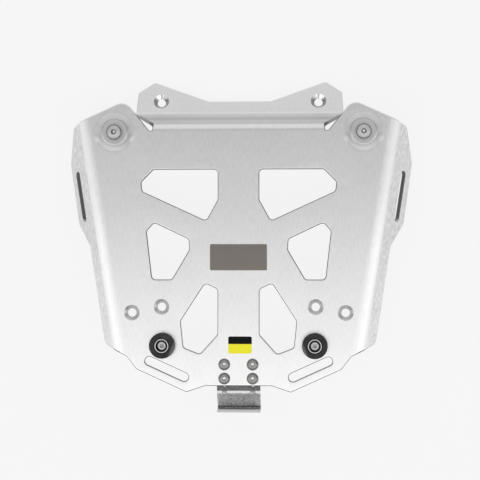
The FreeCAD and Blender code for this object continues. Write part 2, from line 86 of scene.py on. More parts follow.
def latheFrom(name, profile, steps=48, closed=False):
    # a circle is drawn up through the profile's (radius, height) points, in millimetres
    deselectAll()
    radius, height = profile[0]
    bpy.ops.mesh.primitive_circle_add(vertices=steps, radius=radius * mm, location=(0, 0, height * mm))
    piece = bpy.context.object
    piece.name = name
    applyPlace(piece)
    bpy.ops.object.mode_set(mode="EDIT")
    bpy.ops.mesh.select_all(action="SELECT")
    if not closed:
        bpy.ops.mesh.edge_face_add()
        bpy.ops.mesh.poke()
        bpy.ops.mesh.select_mode(type="EDGE")
        bpy.ops.mesh.select_all(action="DESELECT")
        bpy.ops.mesh.select_non_manifold()
    stops = profile[1:] + ([profile[0]] if closed else [])
    for nextRadius, nextHeight in stops:
        bpy.ops.mesh.extrude_edges_move(
            TRANSFORM_OT_translate={"value": (0, 0, (nextHeight - height) * mm)})
        share = nextRadius / radius
        bpy.ops.transform.resize(value=(share, share, 1), center_override=(0, 0, 0))
        radius, height = nextRadius, nextHeight
    if not closed:
        bpy.ops.mesh.edge_face_add()
        bpy.ops.mesh.poke()
    bpy.ops.mesh.select_all(action="SELECT")
    bpy.ops.mesh.remove_doubles(threshold=0.002 * mm)
    bpy.ops.mesh.normals_make_consistent(inside=False)
    bpy.ops.object.mode_set(mode="OBJECT")
    return piece


def hexagonCutter(width, bottom, top, point):
    # a six-sided bar with a drill point below it
    deselectAll()
    radius = width / 2 / math.cos(math.pi / 6)
    depth = top - bottom
    bpy.ops.mesh.primitive_cylinder_add(
        vertices=6, radius=radius * mm, depth=depth * mm, location=(0, 0, (bottom + depth / 2) * mm))
    cutter = bpy.context.object
    applyPlace(cutter)
    bpy.ops.object.mode_set(mode="EDIT")
    bpy.ops.mesh.select_mode(type="FACE")
    bpy.ops.mesh.select_all(action="DESELECT")
    bpy.ops.object.mode_set(mode="OBJECT")
    for face in cutter.data.polygons:
        face.select = face.normal.z < -0.9
    bpy.ops.object.mode_set(mode="EDIT")
    bpy.ops.mesh.extrude_region_move(TRANSFORM_OT_translate={"value": (0, 0, -point * mm)})
    bpy.ops.mesh.merge(type="CENTER")
    bpy.ops.object.mode_set(mode="OBJECT")
    return cutter


def cutWith(piece, cutter):
    applyModifier(piece, "BOOLEAN", operation="DIFFERENCE", object=cutter, solver="EXACT")
    bpy.data.objects.remove(cutter)


def smoothByAngle(piece, degrees):
    chooseOnly(piece)
    bpy.ops.object.shade_smooth_by_angle(angle=math.radians(degrees))


def copyTo(piece, name, shift=(0, 0, 0), body="rack", node=None, turn=0.0):
    # each copy has its own mesh, and its place is in that mesh
    copy = piece.copy()
    copy.data = piece.data.copy()
    copy.name = name
    bpy.context.scene.collection.objects.link(copy)
    copy.data.transform(Matrix.Translation(Vector(shift)) @ Matrix.Rotation(turn, 4, "Z"))
    finishPiece(copy, body, node)
    return copy


def finishPiece(piece, body, node):
    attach(piece, body)
    if node:
        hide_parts(node)


def centreOf(node):
    low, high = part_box(node)
    return (Vector(low) + Vector(high)) / 2


def topOf(node):
    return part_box(node)[1][2]


# Shader maths

class Wire:
    # wraps a socket, so that an expression on wires adds its Math nodes
    def __init__(self, paint, socket):
        self.paint = paint
        self.socket = socket

    def __add__(self, other):
        return self.paint.join("ADD", self, other)

    __radd__ = __add__

    def __sub__(self, other):
        return self.paint.join("SUBTRACT", self, other)

    def __rsub__(self, other):
        return self.paint.join("SUBTRACT", other, self)

    def __mul__(self, other):
        return self.paint.join("MULTIPLY", self, other)

    __rmul__ = __mul__

    def __truediv__(self, other):
        return self.paint.join("DIVIDE", self, other)

    def power(self, other):
        return self.paint.join("POWER", self, other)


class Paint:
    # a material with its Principled shader, built node by node
    def __init__(self, name, **fixed):
        self.material = bpy.data.materials.new(name)
        self.material.use_nodes = True
        self.tree = self.material.node_tree
        self.tree.nodes.clear()
        self.output = self.tree.nodes.new("ShaderNodeOutputMaterial")
        self.shader = self.tree.nodes.new("ShaderNodeBsdfPrincipled")
        self.tree.links.new(self.shader.outputs[0], self.output.inputs["Surface"])
        for socket, value in fixed.items():
            self.shader.inputs[socket.replace("_", " ")].default_value = value
        coordinates = self.tree.nodes.new("ShaderNodeTexCoord")
        self.place = Wire(self, coordinates.outputs["Object"])

    def node(self, kind, settings=None, inputs=None, output=0):
        made = self.tree.nodes.new(kind)
        for key, value in (settings or {}).items():
            if key == "stops":
                self.setStops(made.color_ramp, value)
            else:
                setattr(made, key, value)
        for key, value in (inputs or {}).items():
            if isinstance(value, Wire):
                self.tree.links.new(value.socket, made.inputs[key])
            else:
                made.inputs[key].default_value = value
        return Wire(self, made.outputs[output])

    def setStops(self, ramp, stops):
        while len(ramp.elements) > 1:
            ramp.elements.remove(ramp.elements[-1])
        ramp.elements[0].position, ramp.elements[0].color = stops[0]
        for position, colour in stops[1:]:
            ramp.elements.new(position).color = colour

    def join(self, operation, first, second):
        return self.node("ShaderNodeMath", {"operation": operation}, {0: first, 1: second})

    def larger(self, first, second):
        return self.join("MAXIMUM", first, second)

    def absolute(self, value):
        return self.node("ShaderNodeMath", {"operation": "ABSOLUTE"}, {0: value})

    def part(self, axis):
        return self.node("ShaderNodeSeparateXYZ", None, {0: self.place}, output=axis)

    def stretched(self, scale):
        return self.node("ShaderNodeMapping", None, {"Vector": self.place, "Scale": scale})

    def noise(self, place, scale=1.0, detail=3.0, roughness=0.6):
        return self.node("ShaderNodeTexNoise", None, {
            "Vector": place, "Scale": scale, "Detail": detail, "Roughness": roughness})

    def step(self, value, low, high):
        return self.node("ShaderNodeMapRange", {"interpolation_type": "SMOOTHSTEP"}, {
            "Value": value, "From Min": low, "From Max": high})

    def band(self, value, rise, fall):
        return self.step(value, *rise) * self.step(value, *fall)

    def fade(self, value, start, end):
        # grows from 0 to 1 between two places in millimetres
        return self.step(value, start * mm, end * mm)

    def colourMix(self, share, first, second):
        return self.node("ShaderNodeMix", {"data_type": "RGBA"}, {
            0: share, 6: first, 7: second}, output=2)

    def greyOf(self, value):
        return self.colourMix(value, grey(0.0), grey(1.0))

    def bump(self, height, strength, distance):
        return self.node("ShaderNodeBump", None, {
            "Height": height, "Strength": strength, "Distance": distance})

    def use(self, **links):
        for socket, wire in links.items():
            self.tree.links.new(wire.socket, self.shader.inputs[socket.replace("_", " ")])
        return self.material

    def finish(self, look, colour, tone, grain=None):
        # the roughness follows the tone, the bump the grain
        links = {"Base_Color": colour, "Roughness": look["roughness"] + tone * look["roughnessSpread"]}
        if "bump" in look:
            links["Normal"] = self.bump(grain or tone, look["bump"], look["bumpDepth"])
        return self.use(**links)


def grey(value, warmth=0.0):
    return (value * (1 + warmth), value, value * (1 - warmth), 1.0)


# Materials
# Noises are given in waves in a metre. Pairs that say where a tone lies are in millimetres, from
# where it starts to where it is whole: half is the distance from the middle plane, depth is below
# the deck.

plateShape = {
    "weld": 0.002 * mm,
    "flatAngle": 0.4,
    "skinAngle": 30,
    "smoothAngle": 35,
    "edgeRadius": 1.25 * mm,
    "edgeSteps": 4,
    "holes": [(106.8, -73.5), (77.0, -67.7)],
    "tongueHole": (80.0, 140.8),
    "tongueSlope": 20,
    "coneReach": 8.6 * mm,
    "coneNormal": 0.95,  # steeper faces near a hole are its countersink
    "rimNormals": (0.85, 0.999),
}

plateFinish = {
    "light": 0.87,
    "dark": 0.81,
    "toneContrast": (0.35, 0.65),
    "roughness": 0.32,
    "roughnessSpread": 0.12,
    "streaks": (800.0, 130.0, 800.0),
    "scratchBump": 0.25,
    "scratchDepth": 0.00002,
    "blotch": 22.0,
    "blotchShare": 0.2,
    "mottle": (440.0, 190.0, 440.0),
    "mottleContrast": (0.38, 0.62),
    "mottleDepth": 0.18,
    "flangeDepth": (5.5, 9),
    "flangeHalf": (128, 134),
    "flangeShare": 0.83,  # tone left on the flanges, which aren't brushed
    "flangeRear": (10, -60),
    "flangeRearShare": 0.91,
    "bendStart": (0.1, 0.8),
    "bendEnd": (7.5, 5),
    "bendHalf": (112, 118),
    "bendRear": (60, -20),
    "bendHighlightLift": 0.09,  # a painted highlight on the bends
    "bendRoughness": 0.09,
    "tongue": (128, 130),
    "tongueShare": 0.93,
    "step": (114, 128),
    "stepDepth": (1.5, 3.5),
    "stepHalf": (112, 108),
    # painted shade down the step, in bands
    "stepShadeShares": [0.95, 0.80, 0.70, 0.69, 0.73, 0.74, 0.68, 0.64,
                   0.63, 0.67, 0.71, 0.81, 0.75, 0.84, 0.96],
    "seat": (23, 18),
    # a bearing is 1 straight ahead of the seat and -1 straight behind it
    "seatBearing": (-1.3, -0.3),
    "seatShadeShare": 0.84,
    "seatWallBearing": (-0.35, 0.45),
    "seatWallShadeShare": 0.66,
    "lobeRadius": 18.6,  # two painted highlights behind each seat
    "lobe": (3.5, 0.5),
    "lobeBearing": -0.37,
    "lobeBearingFade": (0.24, 0.04),
    "seatHighlightLift": 0.22,
    "dullRoughness": 0.5,
}


def brushedAluminium(seat):
    # brushed from front to rear, mottled on the flanges, darker and duller on the flanges and tongue,
    # with painted shade down the step and round the front of the seats, made duller too, and painted
    # highlights on the bends and behind the seats
    look = plateFinish
    paint = Paint("brushedAluminium", Metallic=1.0, IOR=1.5)
    streaks = paint.noise(paint.stretched(look["streaks"]))
    blotches = paint.noise(paint.place, look["blotch"], detail=4.0)
    tone = streaks * (1.0 - look["blotchShare"]) + blotches * look["blotchShare"]
    half, forward = paint.absolute(paint.part("X")), paint.part("Y")
    depth = paint.part("Z") * -1.0

    onFlange = paint.fade(depth, *look["flangeDepth"]) * paint.fade(half, *look["flangeHalf"])
    patches = paint.noise(paint.stretched(look["mottle"]), roughness=0.7)
    mottle = (paint.step(patches, *look["mottleContrast"]) - 0.5) * look["mottleDepth"] * onFlange
    toRear = paint.fade(forward, *look["flangeRear"]) * (look["flangeRearShare"] - look["flangeShare"])

    stepFrom, stepTo = look["step"]
    alongStep = (forward - stepFrom * mm) / ((stepTo - stepFrom) * mm)
    count = len(look["stepShadeShares"]) - 1
    stops = [(index / count, grey(share)) for index, share in enumerate(look["stepShadeShares"])]
    # painted shade down the step, band by band
    stepShades = paint.node("ShaderNodeValToRGB", {"stops": stops}, {0: alongStep})
    onStep = (paint.band(alongStep, (-0.1, 0.0), (1.1, 1.0)) * paint.fade(depth, *look["stepDepth"])
              * paint.fade(half, *look["stepHalf"]))
    onTongue = paint.fade(forward, *look["tongue"])

    fromSeat = ((half - seat.x).power(2) + (forward - seat.y).power(2)).power(0.5)
    bearing = (forward - seat.y) / fromSeat
    nearSeat = paint.fade(fromSeat, *look["seat"])
    # painted shade round the front of the seats, deepest on their front walls
    seatWallShade = nearSeat * paint.step(bearing, *look["seatWallBearing"])
    seatShade = nearSeat * paint.step(bearing, *look["seatBearing"])
    # two painted highlights behind each seat
    seatHighlights = (paint.fade(paint.absolute(fromSeat - look["lobeRadius"] * mm), *look["lobe"])
              * paint.step(paint.absolute(bearing - look["lobeBearing"]), *look["lobeBearingFade"]))
    onBend = (paint.fade(depth, *look["bendStart"]) * paint.fade(depth, *look["bendEnd"])
              * paint.fade(half, *look["bendHalf"]) * (1.0 - nearSeat))

    # painted shade on the step and the seats, with the duller flanges and tongue: a darker tone and more
    # roughness
    shadeAndDull = paint.larger(onStep * (1.0 - stepShades), seatShade * (1.0 - look["seatShadeShare"]))
    shadeAndDull = paint.larger(shadeAndDull, seatWallShade * (1.0 - look["seatWallShadeShare"]))
    shadeAndDull = paint.larger(shadeAndDull, onFlange * (1.0 - look["flangeShare"] - toRear))
    shadeAndDull = paint.larger(shadeAndDull, onTongue * (1.0 - look["tongueShare"]))
    brushed = look["dark"] + paint.step(tone, *look["toneContrast"]) * (look["light"] - look["dark"])
    value = (brushed + mottle) * (1.0 - shadeAndDull) + seatHighlights * look["seatHighlightLift"]
    # a painted highlight on the bends, stronger to the rear
    value = value + onBend * paint.fade(forward, *look["bendRear"]) * look["bendHighlightLift"]
    roughness = (look["roughness"] + (tone - 0.5) * look["roughnessSpread"]
                 + shadeAndDull * look["dullRoughness"] + onBend * look["bendRoughness"])
    return paint.use(Base_Color=paint.greyOf(paint.join("MINIMUM", value, 1.0)), Roughness=roughness,
                     Normal=paint.bump(streaks, look["scratchBump"], look["scratchDepth"]))


cutFinish = {
    "lines": (1400.0, 1400.0, 60.0),
    "tone": 0.10,
    "lineTone": 0.12,
    "flange": (5, 9),
    "flangeLift": 0.25,
    "slotForward": (20, 22),
    "slotForwardEnd": (70, 68),
    "slotDepth": (35, 33),
    "rear": (-30, -90),
    "rearPaintedLight": 0.12,
    "tongue": (124, 128),
    "corner": (108, 112),
    "cornerHalf": (118, 124),
    "paintedReflection": 0.80,
    "roughness": 0.38,
    "roughnessSpread": 0.2,
    "bump": 0.35,
    "bumpDepth": 0.00003,
}


def cutAluminium():
    # walls of cut-outs and outer edges, with fine lines square to the sheet: dark on the deck and in the
    # strap slots, lighter down the flanges, with painted light to the rear and a painted reflection on
    # the tongue and front corners
    look = cutFinish
    paint = Paint("cutAluminium", Metallic=1.0)
    lines = paint.noise(paint.stretched(look["lines"]))
    half, forward = paint.absolute(paint.part("X")), paint.part("Y")
    depth = paint.part("Z") * -1.0
    onCorner = paint.fade(forward, *look["corner"]) * paint.fade(half, *look["cornerHalf"])
    # a painted reflection on the tongue and front corners
    paintedReflection = paint.larger(paint.fade(forward, *look["tongue"]), onCorner)
    inSlot = (paint.fade(forward, *look["slotForward"]) * paint.fade(forward, *look["slotForwardEnd"])
              * paint.fade(depth, *look["slotDepth"]))
    onFlange = paint.fade(depth, *look["flange"]) * (1.0 - inSlot)
    # painted light toward the rear
    atRear = paint.fade(forward, *look["rear"])
    value = (look["tone"] + lines * look["lineTone"] + onFlange * look["flangeLift"]
             + atRear * look["rearPaintedLight"])
    colour = paint.colourMix(paintedReflection, paint.greyOf(value), grey(look["paintedReflection"]))
    return paint.finish(look, colour, lines)


countersinkFinish = {
    "rings": (60.0, 60.0, 3600.0),
    "tone": 0.56,
    "ringTone": 0.18,
    "tongue": (124, 128),
    "tongueTone": 0.42,
    # the painted highlight fans begin and end at these turns from straight ahead, in radians
    "fanStart": (0.10, 0.22),
    "fanEnd": (0.95, 0.75),
    "fanTone": 0.56,
    "roughness": 0.2,
    "roughnessSpread": 0.14,
    "bump": 0.3,
    "bumpDepth": 0.00002,
}


def turnedAluminium():
    # countersinks: fine rings left by the cutter, and on the tongue a darker tone with two painted
    # highlight fans in each
    look = countersinkFinish
    paint = Paint("turnedAluminium", Metallic=1.0)
    rings = paint.noise(paint.stretched(look["rings"]), detail=2.0, roughness=0.5)
    holeHalf, holeForward = plateShape["tongueHole"]
    half, forward = paint.absolute(paint.part("X")), paint.part("Y")
    turn = paint.absolute(paint.join("ARCTAN2", half - holeHalf * mm, forward - holeForward * mm))
    onDeck = paint.greyOf(look["tone"] + rings * look["ringTone"])
    # two painted highlight fans in each countersink on the tongue
    highlightFan = paint.band(turn, look["fanStart"], look["fanEnd"])
    onTongue = paint.greyOf(look["tongueTone"] + highlightFan * look["fanTone"])
    colour = paint.colourMix(paint.fade(forward, *look["tongue"]), onDeck, onTongue)
    return paint.finish(look, colour, rings)


metalFinishes = {
    # a painted highlight on the first narrow strip of the plate's broken edges and on the badge's rear
    # edge
    "rimHighlightAluminium": {
        "dark": grey(0.86), "light": grey(0.96), "grain": 500.0, "detail": 2.0, "grainRoughness": 0.5,
        "roughness": 0.3, "roughnessSpread": 0.1,
    },
    # painted shade on the upright rims and grooves of the screw heads
    "shadedRimSteel": {
        "dark": grey(0.13), "light": grey(0.22), "grain": 900.0, "detail": 3.0, "grainRoughness": 0.6,
        "roughness": 0.25, "roughnessSpread": 0.15,
    },
    # the domes of the corner screws and the heads of the cap screws, satin from wear
    "domeSteel": {
        "dark": grey(0.56), "light": grey(0.70), "grain": 900.0, "detail": 3.0, "grainRoughness": 0.6,
        "roughness": 0.56, "roughnessSpread": 0.1, "bump": 0.12, "bumpDepth": 0.00003,
    },
    # a painted glint on the drilled dents in the sockets
    "socketGlintSteel": {
        "dark": grey(0.62), "light": grey(0.82), "grain": 800.0, "detail": 3.0, "grainRoughness": 0.6,
        "roughness": 0.16, "roughnessSpread": 0.16, "bump": 0.12, "bumpDepth": 0.00003,
    },
    "washerSteel": {
        "dark": grey(0.61), "light": grey(0.69), "grain": 700.0, "detail": 3.0, "grainRoughness": 0.6,
        "roughness": 0.3, "roughnessSpread": 0.12, "bump": 0.1, "bumpDepth": 0.00003,
    },
    "zincPlating": {
        "dark": (0.60, 0.62, 0.66, 1), "light": (0.76, 0.77, 0.78, 1), "grain": 240.0, "detail": 4.0,
        "grainRoughness": 0.6, "roughness": 0.2, "roughnessSpread": 0.22, "bump": 0.15,
        "bumpDepth": 0.00004,
    },
}


def plainMetal(name):
    # a metal with one grain
    look = metalFinishes[name]
    paint = Paint(name, Metallic=1.0)
    grain = paint.noise(paint.place, look["grain"], look["detail"], look["grainRoughness"])
    return paint.finish(look, paint.colourMix(grain, look["dark"], look["light"]), grain)


stainlessFinish = {
    "dark": grey(0.30, 0.012),
    "light": grey(0.46, 0.008),
    "grain": 900.0,
    "cloud": 160.0,
    "roughness": 0.4,
    "roughnessSpread": 0.18,
    "bump": 0.12,
    "bumpDepth": 0.00003,
}


def stainlessSteel():
    # a fine grain in soft clouds
    look = stainlessFinish
    paint = Paint("stainlessSteel", Metallic=1.0)
    grain = paint.noise(paint.place, look["grain"])
    cloud = paint.noise(paint.place, look["cloud"], detail=2.0, roughness=0.5)
    tone = grain * 0.5 + cloud * 0.5
    return paint.finish(look, paint.colourMix(tone, look["dark"], look["light"]), tone, grain)


sleeveFinish = {
    "insideShadeDark": 0.02,
    "insideShadeLight": 0.05,
    "rim": 0.56,
    "rimHeight": (9.0, 9.5),
    "cloud": 300.0,
    "roughness": 0.25,
    "roughnessSpread": 0.15,
}


def sleeveSteel():
    # the rim is bare, the inside is painted shade
    look = sleeveFinish
    paint = Paint("sleeveSteel", Metallic=1.0)
    cloud = paint.noise(paint.place, look["cloud"])
    onRim = paint.fade(paint.part("Z"), *look["rimHeight"])
    # painted shade inside, below the rim
    inside = paint.colourMix(cloud, grey(look["insideShadeDark"]), grey(look["insideShadeLight"]))
    return paint.finish(look, paint.colourMix(onRim, inside, grey(look["rim"])), cloud)


rubberFinish = {
    "clean": grey(0.022),
    "dusty": grey(0.045, 0.02),
    "dust": 130.0,
    "dustContrast": (0.42, 0.75),
    "grain": 1600.0,
    "rubbed": grey(0.13, 0.01),
    "sheenSide": (0.92, 0.38),  # how far it faces the middle of the deck, and the rear
    "sheenFrom": (8.8, 11.2),
    "roughness": 0.5,
    "roughnessSpread": 0.3,
    "bump": 0.3,
    "bumpDepth": 0.00005,
}


def blackRubber(puck):
    # dusty, with a painted sheen on the edge that faces the middle of the deck
    look = rubberFinish
    paint = Paint("blackRubber", Metallic=0.0, Specular_IOR_Level=0.3)
    grain = paint.noise(paint.place, look["grain"], detail=2.0, roughness=0.5)
    dust = paint.noise(paint.place, look["dust"], detail=4.0, roughness=0.65)
    colour = paint.colourMix(paint.step(dust, *look["dustContrast"]), look["clean"], look["dusty"])
    half, forward = paint.absolute(paint.part("X")), paint.part("Y")
    toMiddle, toRear = look["sheenSide"]
    # a painted sheen on the edge that faces the middle of the deck and the rear
    inward = (puck.x - half) * toMiddle + (puck.y - forward) * toRear
    colour = paint.colourMix(paint.fade(inward, *look["sheenFrom"]), colour, look["rubbed"])
    return paint.finish(look, colour, grain)


bracketFinish = {
    "dark": 0.38,
    "light": 0.76,
    "grain": 560.0,
    "cloud": 90.0,
    "cloudShare": 0.1,
    "contrast": (0.36, 0.64),
    "edge": (-152.2, -150.9),
    "edgeShare": 0.30,  # tone left on the strip that the deck's edge shades
    "bendStart": (-150.8, -151.4),
    "bendEnd": (-153.9, -153.0),
    "bendHighlightLift": 0.40,
    "bendEvening": 0.75,  # share of the speckle evened out under the painted highlight on the bend
    "dipHalf": 14.15,  # painted shade on the bend where the slots run out
    "dip": (3.4, 1.8),
    "slotEndShadeDepth": 0.55,
    "ramp": (-155, -163),
    "rampLightLift": 0.22,
    "foldStart": (-166.9, -167.7),
    "foldEnd": (-170.8, -170.0),
    "foldShadeShare": 0.42,
    "lip": (-169.8, -170.4),
    "lipTone": 0.56,
    "roughness": 0.42,
    "roughnessSpread": 0.2,
    "bump": 0.5,
    "bumpDepth": 0.00012,
}


def bracketSteel():
    # blasted steel: an even grain, with painted shadow next to the deck's edge, painted shade in the fold
    # and at the slot ends, a painted highlight on the bend and painted light down the ramp
    look = bracketFinish
    paint = Paint("bracketSteel", Metallic=1.0)
    grain = paint.noise(paint.place, look["grain"], roughness=0.7)
    cloud = paint.noise(paint.place, look["cloud"], detail=2.0, roughness=0.5)
    tone = grain * (1.0 - look["cloudShare"]) + cloud * look["cloudShare"]
    half, forward = paint.absolute(paint.part("X")), paint.part("Y")
    onBend = paint.fade(forward, *look["bendStart"]) * paint.fade(forward, *look["bendEnd"])
    # painted shade where the slots run out
    slotEndShade = onBend * paint.fade(paint.absolute(half - look["dipHalf"] * mm), *look["dip"])
    # painted shade in the fold
    inFold = paint.fade(forward, *look["foldStart"]) * paint.fade(forward, *look["foldEnd"])
    # painted shadow of the deck's edge
    byEdge = paint.fade(forward, *look["edge"])
    # painted light down the ramp and a painted highlight on the bend
    paintedLightLift = paint.fade(forward, *look["ramp"]) * look["rampLightLift"] + onBend * look["bendHighlightLift"] + 1.0
    left = (1.0 - inFold * (1.0 - look["foldShadeShare"])) * (1.0 - byEdge * (1.0 - look["edgeShare"]))
    left = left * (1.0 - slotEndShade * look["slotEndShadeDepth"])
    speckle = paint.step(tone, *look["contrast"])
    speckle = speckle + (0.5 - speckle) * onBend * look["bendEvening"]
    value = (look["dark"] + speckle * (look["light"] - look["dark"])) * paintedLightLift * left
    onLip = paint.fade(forward, *look["lip"])
    colour = paint.colourMix(onLip, paint.greyOf(value), grey(look["lipTone"]))
    return paint.finish(look, colour, tone, grain)


badgeFinish = {
    "dark": (0.19, 0.17, 0.155, 1),
    "light": (0.27, 0.243, 0.222, 1),
    "lines": (18.0, 1500.0, 1500.0),
    "roughness": 0.28,
    "roughnessSpread": 0.25,
    "bump": 0.3,
    "bumpDepth": 0.00002,
}


def badgeMetal():
    # brushed from side to side
    look = badgeFinish
    paint = Paint("badgeMetal", Metallic=1.0)
    lines = paint.noise(paint.stretched(look["lines"]))
    return paint.finish(look, paint.colourMix(lines, look["dark"], look["light"]), lines)


stickerFinish = {
    "band": (0.006, 0.006, 0.0066, 1),
    "fieldDark": (0.92, 0.86, 0.036, 1),
    "fieldLight": (0.98, 0.93, 0.055, 1),
    "bandStart": (-104.68, -104.52),  # the band lies in front of this line
    "mottle": 500.0,
    "roughness": 0.4,
    "roughnessSpread": 0.15,
    "bump": 0.1,
    "bumpDepth": 0.00002,
}


def stickerPrint():
    look = stickerFinish
    paint = Paint("stickerPrint", Metallic=0.0, Specular_IOR_Level=0.08)
    mottle = paint.noise(paint.place, look["mottle"])
    field = paint.colourMix(mottle, look["fieldDark"], look["fieldLight"])
    inBand = paint.fade(paint.part("Y"), *look["bandStart"])
    return paint.finish(look, paint.colourMix(inBand, field, look["band"]), mottle)


materials = {
    "plate": brushedAluminium(centreOf("right_corner_washer")),
    "cut": cutAluminium(),
    "turned": turnedAluminium(),
    "rim": plainMetal("rimHighlightAluminium"),
    "stainless": stainlessSteel(),
    "screwRimShade": plainMetal("shadedRimSteel"),
    "dome": plainMetal("domeSteel"),
    "bright": plainMetal("socketGlintSteel"),
    "washer": plainMetal("washerSteel"),
    "sleeve": sleeveSteel(),
    "zinc": plainMetal("zincPlating"),
    "rubber": blackRubber(centreOf("right_rubber_puck")),
    "bracket": bracketSteel(),
    "badge": badgeMetal(),
    "sticker": stickerPrint(),
}
print("materials made")


def paintAll(piece, *names):
    piece.data.materials.clear()
    for name in names:
        piece.data.materials.append(materials[name])


# Formed plate

def mergedCopy(node, name):
    # the node's loose triangles are welded and its flats made whole
    source = nodes[node]
    piece = source.copy()
    piece.data = source.data.copy()
    piece.name = name
    piece.parent = None
    for key in list(piece.keys()):
        del piece[key]
    bpy.context.scene.collection.objects.link(piece)
    piece.matrix_world = Matrix.Identity(4)
    chooseOnly(piece)
    bpy.ops.object.mode_set(mode="EDIT")
    bpy.ops.mesh.select_all(action="SELECT")
    bpy.ops.mesh.remove_doubles(threshold=plateShape["weld"])
    bpy.ops.mesh.customdata_custom_splitnormals_clear()
    bpy.ops.mesh.dissolve_limited(angle_limit=math.radians(plateShape["flatAngle"]))
    bpy.ops.mesh.quads_convert_to_tris(quad_method="BEAUTY", ngon_method="BEAUTY")
    bpy.ops.mesh.beautify_fill(angle_limit=math.radians(plateShape["flatAngle"]))
    bpy.ops.object.mode_set(mode="OBJECT")
    return piece


def selectOnly(piece, kind, chosen):
    chooseOnly(piece)
    bpy.ops.object.mode_set(mode="EDIT")
    bpy.ops.mesh.select_mode(type=kind)
    bpy.ops.mesh.select_all(action="DESELECT")
    bpy.ops.object.mode_set(mode="OBJECT")
    parts = piece.data.polygons if kind == "FACE" else piece.data.edges
    for index in chosen:
        parts[index].select = True


def skinFrom(piece, seed):
    # the faces that run on smoothly from the seed
    selectOnly(piece, "FACE", [seed])
    bpy.ops.object.mode_set(mode="EDIT")
    bpy.ops.mesh.faces_select_linked_flat(sharpness=math.radians(plateShape["skinAngle"]))
    bpy.ops.object.mode_set(mode="OBJECT")
    return {face.index for face in piece.data.polygons if face.select}


def bevelBetween(piece, isChosen, radius, steps, edgeMaterial):
    # breaks the edges whose two faces pass the test
    owners = {}
    for face in piece.data.polygons:
        for key in face.edge_keys:
            owners.setdefault(key, []).append(face)
    chosen = [edge.index for edge in piece.data.edges
              if len(owners[edge.key]) == 2 and isChosen(*owners[edge.key])]
    selectOnly(piece, "EDGE", chosen)
    bpy.ops.object.mode_set(mode="EDIT")
    bpy.ops.mesh.bevel(
        offset=radius, segments=steps, clamp_overlap=False, loop_slide=False, material=edgeMaterial)
    bpy.ops.object.mode_set(mode="OBJECT")


def inCone(point):
    # whether the point is above one of the countersinks
    half, forward = abs(point.x) / mm, point.y / mm
    reach = plateShape["coneReach"] / mm
    for holeHalf, holeForward in plateShape["holes"]:
        if math.hypot(half - holeHalf, forward - holeForward) < reach:
            return True
    holeHalf, holeForward = plateShape["tongueHole"]
    downSlope = (forward - holeForward) / math.cos(math.radians(plateShape["tongueSlope"]))
    return math.hypot(half - holeHalf, downSlope) < reach


def makePlate():
    piece = mergedCopy("rack_plate", "formed_plate")
    paintAll(piece, "plate", "cut", "turned", "rim")
    skin, wall, cone, rim = range(4)
    skins = set()
    for side in (1, -1):
        flats = [(face.area, face.index) for face in piece.data.polygons if face.normal.z * side > 0.99]
        skins |= skinFrom(piece, max(flats)[1])
    for face in piece.data.polygons:
        if face.index in skins:
            continue
        isCone = inCone(face.center) and abs(face.normal.z) < plateShape["coneNormal"]
        face.material_index = cone if isCone else wall

    def isEdge(first, second):
        return {first.material_index, second.material_index} == {skin, wall}

    bevelBetween(piece, isEdge, plateShape["edgeRadius"], plateShape["edgeSteps"], wall)
    # the first strip of each broken edge on the deck gets the painted highlight
    steepest, flattest = plateShape["rimNormals"]
    for face in piece.data.polygons:
        onDeck = face.center.z > -1 * mm
        if onDeck and face.material_index == wall and steepest < face.normal.z < flattest:
            face.material_index = rim
    smoothByAngle(piece, plateShape["smoothAngle"])
    applyModifier(piece, "WEIGHTED_NORMAL", keep_sharp=True)
    finishPiece(piece, "rack", "rack_plate")
    return piece


plate = makePlate()
print("plate made", len(plate.data.polygons))


# Latch bracket

bracketShape = {
    "edgeAngle": 60,
    "edgeRadius": 0.35 * mm,
    "edgeSteps": 2,
    "smoothAngle": 35,
}


def makeBracket():
    look = bracketShape
    piece = mergedCopy("latch_bracket", "latch_catch")
    paintAll(piece, "bracket")

    def isEdge(first, second):
        return first.normal.angle(second.normal) > math.radians(look["edgeAngle"])

    bevelBetween(piece, isEdge, look["edgeRadius"], look["edgeSteps"], -1)
    smoothByAngle(piece, look["smoothAngle"])
    applyModifier(piece, "WEIGHTED_NORMAL", keep_sharp=True)
    finishPiece(piece, "latch", "latch_bracket")


makeBracket()
print("bracket made")


# Corner washers and screws
# Sizes of screws, washers and pucks are in millimetres, and their profiles run from the bottom up.

smoothing = {"screw": 32, "turned": 40}

cornerScrew = {
    "facets": 64,
    "thread": 4.0,
    "pitch": 1.25,
    "flange": 8.9,
    "flangeHeight": 1.4,
    "flangeEdge": 0.35,
    "groove": 7.6,
    "grooveDepth": 0.5,
    "dome": 7.2,
    "domeHeight": 4.4,
    "domeRim": 0.7,
    "socket": 5.0,
    "socketDepth": 3.0,
    "mouth": 3.3,
    "mouthDepth": 0.35,
    "drillPoint": 0.3,
    "dent": 1.5,
    "turn": 0.2,
}


def domeProfile(radius, bottom, height, rim, steps=7):
    # an upright rim, then most of a quarter of an ellipse up to a small flat
    reach, squareness = math.radians(78), 0.9
    points = [(radius, bottom), (radius, bottom + rim)]
    for step in range(1, steps + 1):
        turn = reach * step / steps
        rise = (height - rim) * math.sin(turn) / math.sin(reach)
        points.append((radius * math.cos(turn) ** squareness, bottom + rim + rise))
    return points


def threadProfile(radius, pitch, bottom, top):
    # grooves and crests from the chamfered end up to the head
    root = radius - 0.55 * pitch
    crestFrom, crestTo = 0.44 * pitch, 0.56 * pitch
    points = [(root, bottom), (radius - 0.11 * pitch, bottom + pitch / 2)]
    height = bottom + pitch * 0.75
    while height + pitch < top:
        points += [(root, height), (radius, height + crestFrom), (radius, height + crestTo)]
        height += pitch
    points += [(root, height), (radius, min(height + pitch / 2, top - 0.01)), (radius, top)]
    return points


